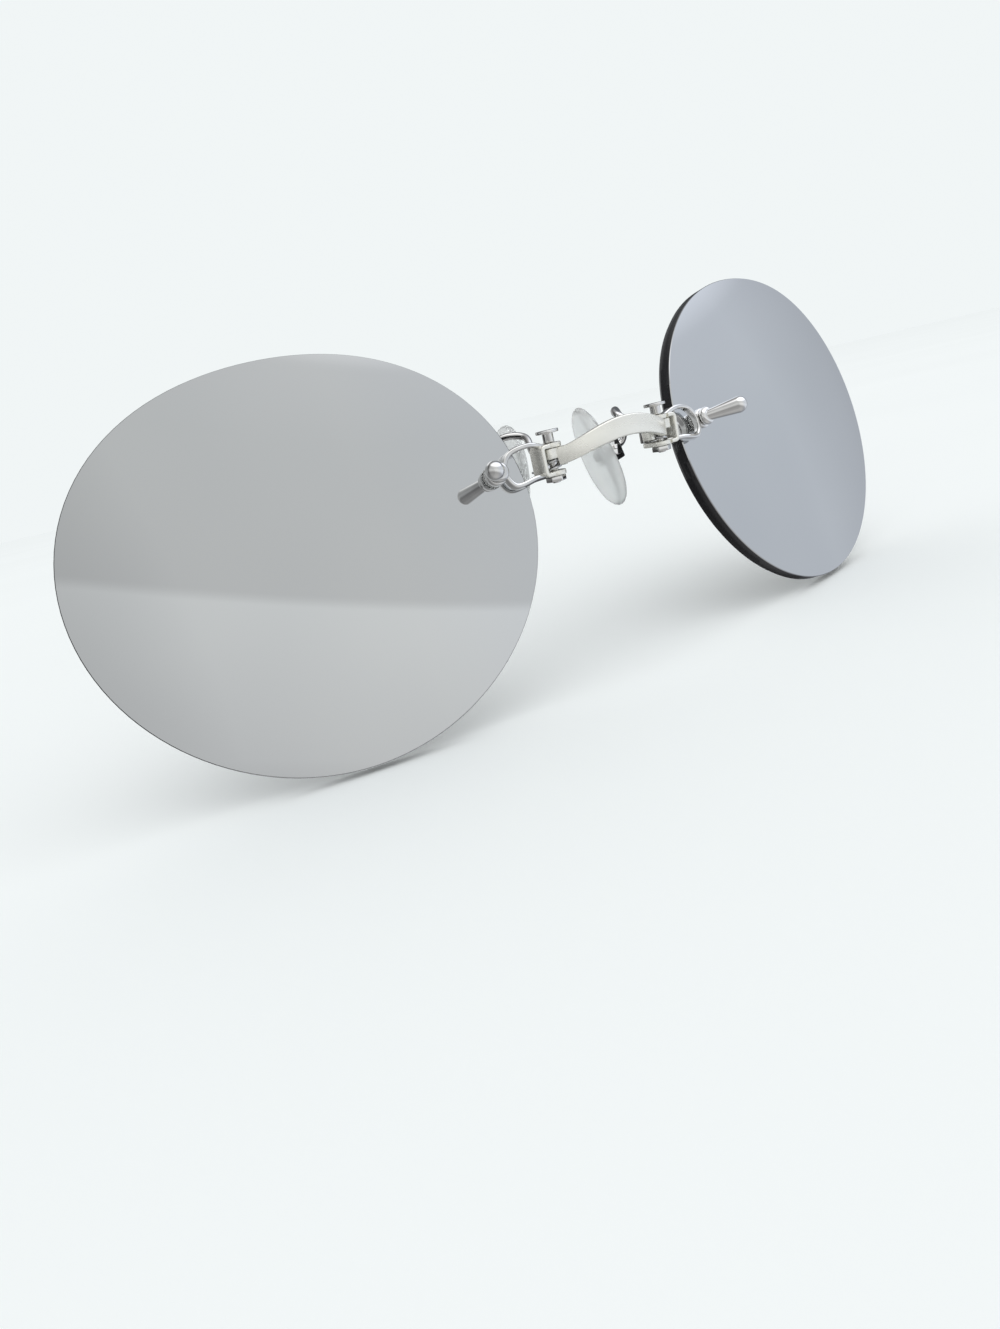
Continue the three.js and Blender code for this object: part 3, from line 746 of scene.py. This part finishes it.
def hinge_eye(low, high):
    plan = round_section(EYE_RADIUS, EYE_SEGMENTS)
    rear = [vert for vert in plan.verts if vert.co.y > WELD]
    bmesh.ops.translate(plan, vec=(0, TANG_END - EYE_RADIUS, 0), verts=rear)
    return eased(bored_plate(plan, PIN_HOLE_RADIUS, low, high), EYE_EASE)


# A strip bent to a C that joins the two eyes outside the knuckle
def hinge_wall():
    upper = sum(UPPER_EYE) / 2
    lower = sum(LOWER_EYE) / 2
    path = [Vector((WALL_START, 0, upper))]
    for level, start in ((upper - WALL_BEND, QUARTER_TURN), (lower + WALL_BEND, 0)):
        for i in range(WALL_BEND_STEPS + 1):
            angle = start - QUARTER_TURN * i / WALL_BEND_STEPS
            out = WALL_MIDDLE - WALL_BEND + WALL_BEND * math.cos(angle)
            path.append(Vector((out, 0, level + WALL_BEND * math.sin(angle))))
    path.append(Vector((WALL_START, 0, lower)))
    section = rounded_plan(WALL_WIDTH, WALL_THICKNESS, WALL_EDGE, FINE_SEGMENTS)
    return drawn(section, carried_frames(path, (0, 1, 0)))


def fixing_ring(levels, radius):
    low, high = levels
    profile = [(FIX_HOLE_RADIUS, low), (radius, low), (radius, high), (FIX_HOLE_RADIUS, high)]
    return turned(profile, ring=True)


def lens_eye():
    eye = eased(fixing_ring(LENS_EYE, LENS_EYE_RADIUS), LENS_EYE_EASE, FINE_SEGMENTS)
    return moved(eye, FIX_BACK)


def fork():
    middle = (LENS_EYE[0] + LENS_EYE[1]) / 2

    def near_lens(out, rise):
        return FIX_FRAME @ Vector((out, middle, rise))

    upper = sum(UPPER_EYE) / 2
    lower = sum(LOWER_EYE) / 2
    path = [
        HINGE + Vector((BAND_START, 0, upper)),
        HINGE + Vector((KNEE_REACH, 0, upper + UPPER_KNEE_RISE)),
        near_lens(-FORK_SHOULDER, FORK_THROAT),
        near_lens(-FORK_RIM, 0),
        near_lens(-FORK_SHOULDER, -FORK_THROAT),
        HINGE + Vector((KNEE_REACH, -LOWER_KNEE_FORWARD, lower)),
        HINGE + Vector((BAND_START, 0, lower)),
    ]
    section = rounded_plan(BAND_WIDTH, BAND_THICKNESS, BAND_EDGE, FINE_SEGMENTS)
    band = drawn(section, carried_frames(smooth_path(path, BAND_STEPS), (0, 1, 0)))
    bracket = joined(hinge_eye(*UPPER_EYE), hinge_eye(*LOWER_EYE), hinge_wall())
    for face in bracket.faces:
        face.material_index = BRACKET_FINISH
    return joined(band, moved(bracket, HINGE_FRAME), lens_eye())


# Lens fixing


def finger_post():
    collar = [(0, POST_BASE)]
    for i in range(COLLAR_RINGS + 1):
        angle = math.pi * i / COLLAR_RINGS
        bulge = POST_NECK_RADIUS + (COLLAR_RADIUS - POST_NECK_RADIUS) * math.sin(angle)
        collar.append((bulge, POST_BASE - COLLAR_LENGTH * (1 - math.cos(angle)) / 2))
    collar.append((0, POST_BASE - COLLAR_LENGTH))
    shaft = [(0, 0), (POST_NECK_RADIUS, 0)]
    for i in range(POST_TIP_RINGS):
        angle = QUARTER_TURN * i / POST_TIP_RINGS
        level = POST_TIP_RADIUS * (1 - math.sin(angle)) - POST_SHAFT
        shaft.append((POST_TIP_RADIUS * math.cos(angle), level))
    shaft.append((0, -POST_SHAFT))
    lean = Matrix.Translation((0, POST_BASE - COLLAR_LENGTH / 2, 0)) @ POST_TURN
    return joined(moved(turned(collar), ALONG_BACK), moved(turned(shaft), lean @ ALONG_BACK))


def lens_screw():
    low, high = LENS_SCREW_HEAD
    profile = [(0, LENS_SCREW_TAIL), (LENS_SCREW_RADIUS, LENS_SCREW_TAIL), (LENS_SCREW_RADIUS, low)]
    for i in range(LENS_SCREW_DOME_RINGS):
        angle = QUARTER_TURN * i / LENS_SCREW_DOME_RINGS
        level = low + (high - low) * math.sin(angle)
        profile.append((LENS_SCREW_HEAD_RADIUS * math.cos(angle), level))
    profile.append((0, high))
    return slotted(turned(profile), high, LENS_SCREW_SLOT_REACH)


def lens_bush():
    return eased(fixing_ring(BUSH, BUSH_RADIUS), WASHER_EASE)


def front_washer():
    return eased(fixing_ring(FRONT_WASHER, WASHER_RADIUS), WASHER_EASE)


def rear_washer():
    return eased(fixing_ring(REAR_WASHER, WASHER_RADIUS), WASHER_EASE)


# Pad arm


def pad_arm():
    plate = moved(eased(block(PLATE_LOW, PLATE_HIGH), PLATE_EASE), HINGE_FRAME)
    path = [HINGE + ARM_START, HINGE + ARM_RISE]
    path += [PAD_PIVOT + Vector(bend) for bend in ARM_BENDS]
    path.append(PAD_FRAME @ ARM_END)
    wire_section = round_section(ARM_RADIUS, ARM_SEGMENTS)
    wire = drawn(wire_section, carried_frames(smooth_path(path, ARM_STEPS), (1, 0, 0)))
    bends = [Vector((*bend, 0)) for bend in BOX_BENDS]
    bends += [Vector((bend.x, -bend.y, 0)) for bend in reversed(bends)]
    box_section = rounded_plan(BOX_HEIGHT, BOX_WALL, BOX_EDGE, EASED_SEGMENTS)
    box = drawn(box_section, carried_frames(smooth_path(bends, BOX_STEPS), (0, 0, 1)))
    return joined(plate, wire, moved(box, PAD_FRAME))


def pad_screw():
    low, high = PAD_SCREW_HEAD
    profile = [
        (0, low), (PAD_SCREW_HEAD_RADIUS, low), (PAD_SCREW_HEAD_RADIUS, high),
        (PAD_SCREW_RADIUS, high), (PAD_SCREW_RADIUS, PAD_SCREW_END), (0, PAD_SCREW_END),
    ]
    return eased(turned(profile), PAD_SCREW_EASE, FINE_SEGMENTS)


# Nose pad


def nose_pad():
    bm = round_section(1, PAD_SEGMENTS)
    for vert in bm.verts:
        narrowing = 1 - PAD_TAPER * vert.co.y
        vert.co = (0, PAD_HALF_DEPTH * vert.co.x * narrowing, PAD_HALF_HEIGHT * vert.co.y)
    loop = bm.edges[:]
    verts = bm.verts[:]
    scale, level = PAD_RINGS[0]
    bmesh.ops.scale(bm, vec=(1, scale, scale), verts=verts)
    bmesh.ops.translate(bm, vec=(level, 0, 0), verts=verts)
    for (scale, level), (next_scale, next_level) in zip(PAD_RINGS, PAD_RINGS[1:]):
        loop, verts, _ = extruded_loop(bm, loop)
        growth = next_scale / scale
        bmesh.ops.scale(bm, vec=(1, growth, growth), verts=verts)
        bmesh.ops.translate(bm, vec=(next_level - level, 0, 0), verts=verts)
    stud = eased(block(STUD_LOW, STUD_HIGH), STUD_EASE, FINE_SEGMENTS)
    return joined(closed(bm), stud)


bar = piece("bridge_bar_look", bridge_bar(), [SATIN])
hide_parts("bridge_bar")
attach(bar, "bridge")

side_shapes = [
    ("lens", lens_shell, LENS_FRAME, [MIRROR, SMOKE], "mirror_lens"),
    ("fork", fork, Matrix(), [POLISHED, SATIN], "silver_metal"),
    ("finger_post", finger_post, FIX_FRAME, [POLISHED], "silver_metal"),
    ("lens_screw", lens_screw, FIX_BACK, [POLISHED], "silver_metal"),
    ("lens_bush", lens_bush, FIX_BACK, [NYLON], "clear_nylon"),
    ("front_washer", front_washer, FIX_BACK, [NYLON], "clear_nylon"),
    ("rear_washer", rear_washer, FIX_BACK, [NYLON], "clear_nylon"),
    ("hinge_screw", hinge_screw, HINGE_FRAME, [POLISHED], "silver_metal"),
    ("hinge_nut", hinge_nut, HINGE_FRAME, [POLISHED], "silver_metal"),
    ("pad_arm", pad_arm, Matrix(), [POLISHED], "silver_metal"),
    ("pad_screw", pad_screw, PAD_BACK, [POLISHED], "silver_metal"),
]

for side, sense in SIDES.items():
    for name, shape, place, finishes, slot in side_shapes:
        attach(side_piece(side, name, shape(), place, finishes), f"{side}_side")
    pad = side_piece(side, "nose_pad", nose_pad(), PAD_FRAME, [SILICONE])
    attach(pad, f"{side}_pad")
    spring = side_piece(side, "hinge_spring", hinge_spring(), HINGE_FRAME, [STEEL])
    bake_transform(spring)


# Floor, light and camera

FLOOR_COLOUR = (0.93, 0.972, 0.976)
LAMP_LEVEL = 0.92
LIT_FLOOR_LEVEL = 0.945
BACKGROUND = tuple(LIT_FLOOR_LEVEL * value for value in FLOOR_COLOUR)
FLOOR_RADIUS = 4
FLOOR_SEGMENTS = 96
FLOOR_GAP = 0.0002
FLOOR_TONE_SHARE = 0.985
FLOOR_ROUGHNESS = 0.8

# What shiny surfaces reflect: colours at levels along three axes, multiplied together
REFLECTED_UP = (0.33, 0, 0.944)
REFLECTED_BY_RISE = [
    (-0.9, (0.55, 0.55, 0.55)), (-0.5, (0.46, 0.46, 0.46)), (-0.34, (0.5, 0.5, 0.5)),
    (-0.14, (0.86, 0.87, 0.87)), (0.18, (0.98, 0.995, 0.99)), (0.2, (0.805, 0.815, 0.81)),
    (0.5, (0.835, 0.85, 0.845)), (0.63, (0.88, 0.89, 0.89)), (0.78, (2, 2, 2)),
]
REFLECTED_BACK = (0, 1, 0)
REFLECTED_BY_DEPTH = [
    (-0.2, (1, 1, 1)), (0.1, (0.75, 0.75, 0.76)), (0.35, (0.2, 0.2, 0.2)),
    (0.75, (0.16, 0.16, 0.16)), (0.98, (0.6, 0.6, 0.6)),
]
REFLECTED_RIGHT = (1, 0, 0)
REFLECTED_BY_SIDE = [
    (-0.95, (0.8, 0.8, 0.8)), (-0.62, (0.78, 0.78, 0.78)), (-0.42, (0.94, 0.94, 0.94)),
    (0, (1, 1, 1)), (0.8, (0.885, 0.925, 1.01)),
]

# The camera, from the photo's height and focal length in pixels
PHOTO_HEIGHT = 1329
FOCAL_LENGTH = 850
SENSOR_SIZE = 36
CAMERA_PLACE = (-0.05932, -0.08517, 0.00679)
CAMERA_RIGHT = (0.827, -0.517, -0.222)
CAMERA_AHEAD = (0.456, 0.847, -0.272)
NEAREST = 0.002
FARTHEST = 50


def pale_floor():
    bm = bmesh.new()
    bmesh.ops.create_circle(bm, cap_ends=True, radius=FLOOR_RADIUS, segments=FLOOR_SEGMENTS)
    bmesh.ops.translate(bm, vec=(0, 0, solids_low.z - FLOOR_GAP), verts=bm.verts)
    mesh = bpy.data.meshes.new("floor")
    bm.to_mesh(mesh)
    bm.free()
    paint, tree, shader = new_finish("pale_floor")
    tone = speckle(tree, scale=6, detail=2)
    low = tuple(FLOOR_TONE_SHARE * value for value in FLOOR_COLOUR)
    tree.links.new(graded(tree, tone, low, FLOOR_COLOUR), shader.inputs["Base Color"])
    shader.inputs["Roughness"].default_value = FLOOR_ROUGHNESS
    shader.inputs["Specular IOR Level"].default_value = 0
    mesh.materials.append(paint)
    made = bpy.data.objects.new("floor", mesh)
    made.visible_glossy = False
    bpy.context.scene.collection.objects.link(made)


# A colour for each direction of the world, graded along one axis
def directional(tree, axis, stops):
    direction = tree.nodes.new("ShaderNodeTexCoord")
    along = tree.nodes.new("ShaderNodeVectorMath")
    along.operation = "DOT_PRODUCT"
    along.inputs[1].default_value = axis
    half = tree.nodes.new("ShaderNodeMapRange")
    half.inputs["From Min"].default_value = -1
    ramp = tree.nodes.new("ShaderNodeValToRGB")
    shades = ramp.color_ramp.elements
    while len(shades) < len(stops):
        shades.new(0.5)
    for shade, (level, colour) in zip(shades, stops):
        shade.position = (level + 1) / 2
        shade.color = (*colour, 1)
    tree.links.new(direction.outputs["Generated"], along.inputs[0])
    tree.links.new(along.outputs["Value"], half.inputs["Value"])
    tree.links.new(half.outputs["Result"], ramp.inputs["Fac"])
    return ramp.outputs["Color"]


def multiplied(tree, first, second):
    mix = tree.nodes.new("ShaderNodeMix")
    mix.data_type = "RGBA"
    mix.blend_type = "MULTIPLY"
    mix.inputs["Factor"].default_value = 1
    tree.links.new(first, mix.inputs["A"])
    tree.links.new(second, mix.inputs["B"])
    return mix.outputs["Result"]


# The lamp lights the pieces, shiny surfaces reflect the graded colours, and the camera
# sees the background, straight or through clear pieces
def studio_world():
    world = bpy.data.worlds.new("studio")
    world.use_nodes = True
    bpy.context.scene.world = world
    tree = world.node_tree
    lamp = tree.nodes["Background"]
    lamp.inputs["Color"].default_value = (1, 1, 1, 1)
    lamp.inputs["Strength"].default_value = LAMP_LEVEL
    seen = tree.nodes.new("ShaderNodeBackground")
    seen.inputs["Color"].default_value = (*BACKGROUND, 1)
    by_rise = directional(tree, REFLECTED_UP, REFLECTED_BY_RISE)
    by_depth = directional(tree, REFLECTED_BACK, REFLECTED_BY_DEPTH)
    by_side = directional(tree, REFLECTED_RIGHT, REFLECTED_BY_SIDE)
    shade = multiplied(tree, multiplied(tree, by_rise, by_depth), by_side)
    reflected = tree.nodes.new("ShaderNodeBackground")
    tree.links.new(shade, reflected.inputs["Color"])
    rays = tree.nodes.new("ShaderNodeLightPath")
    mirrored = tree.nodes.new("ShaderNodeMixShader")
    tree.links.new(rays.outputs["Is Glossy Ray"], mirrored.inputs["Fac"])
    tree.links.new(lamp.outputs["Background"], mirrored.inputs[1])
    tree.links.new(reflected.outputs["Background"], mirrored.inputs[2])
    direct = tree.nodes.new("ShaderNodeMath")
    direct.operation = "MAXIMUM"
    tree.links.new(rays.outputs["Is Camera Ray"], direct.inputs[0])
    tree.links.new(rays.outputs["Is Transmission Ray"], direct.inputs[1])
    whole = tree.nodes.new("ShaderNodeMixShader")
    tree.links.new(direct.outputs["Value"], whole.inputs["Fac"])
    tree.links.new(mirrored.outputs["Shader"], whole.inputs[1])
    tree.links.new(seen.outputs["Background"], whole.inputs[2])
    tree.links.new(whole.outputs["Shader"], tree.nodes["World Output"].inputs["Surface"])


def softbox(name, place, target, width, height, radiance, colour):
    light = bpy.data.lights.new(name, "AREA")
    light.shape = "RECTANGLE"
    light.size = width
    light.size_y = height
    light.energy = radiance * math.pi * width * height
    light.color = colour
    lamp = bpy.data.objects.new(name, light)
    lamp.location = place
    lamp.rotation_mode = "QUATERNION"
    lamp.rotation_quaternion = (Vector(target) - Vector(place)).to_track_quat("-Z", "Y")
    lamp.visible_glossy = False
    bpy.context.scene.collection.objects.link(lamp)


def photo_camera():
    data = bpy.data.cameras.new("camera")
    data.sensor_width = SENSOR_SIZE
    data.lens = SENSOR_SIZE * FOCAL_LENGTH / PHOTO_HEIGHT
    data.clip_start = NEAREST
    data.clip_end = FARTHEST
    camera = bpy.data.objects.new("camera", data)
    right = Vector(CAMERA_RIGHT).normalized()
    ahead = Vector(CAMERA_AHEAD)
    ahead = (ahead - right * ahead.dot(right)).normalized()
    up = right.cross(ahead)
    turn = Matrix((right, up, -ahead)).transposed().to_4x4()
    camera.matrix_world = Matrix.Translation(CAMERA_PLACE) @ turn
    bpy.context.scene.collection.objects.link(camera)
    bpy.context.scene.camera = camera


pale_floor()
studio_world()
softbox(
    "overhead_softbox", place=(-0.6, -1.6, 2.4), target=(0, 0, 0),
    width=2.8, height=2.4, radiance=0.35, colour=(1, 1, 1),
)
photo_camera()
bpy.context.scene.view_settings.view_transform = "Standard"
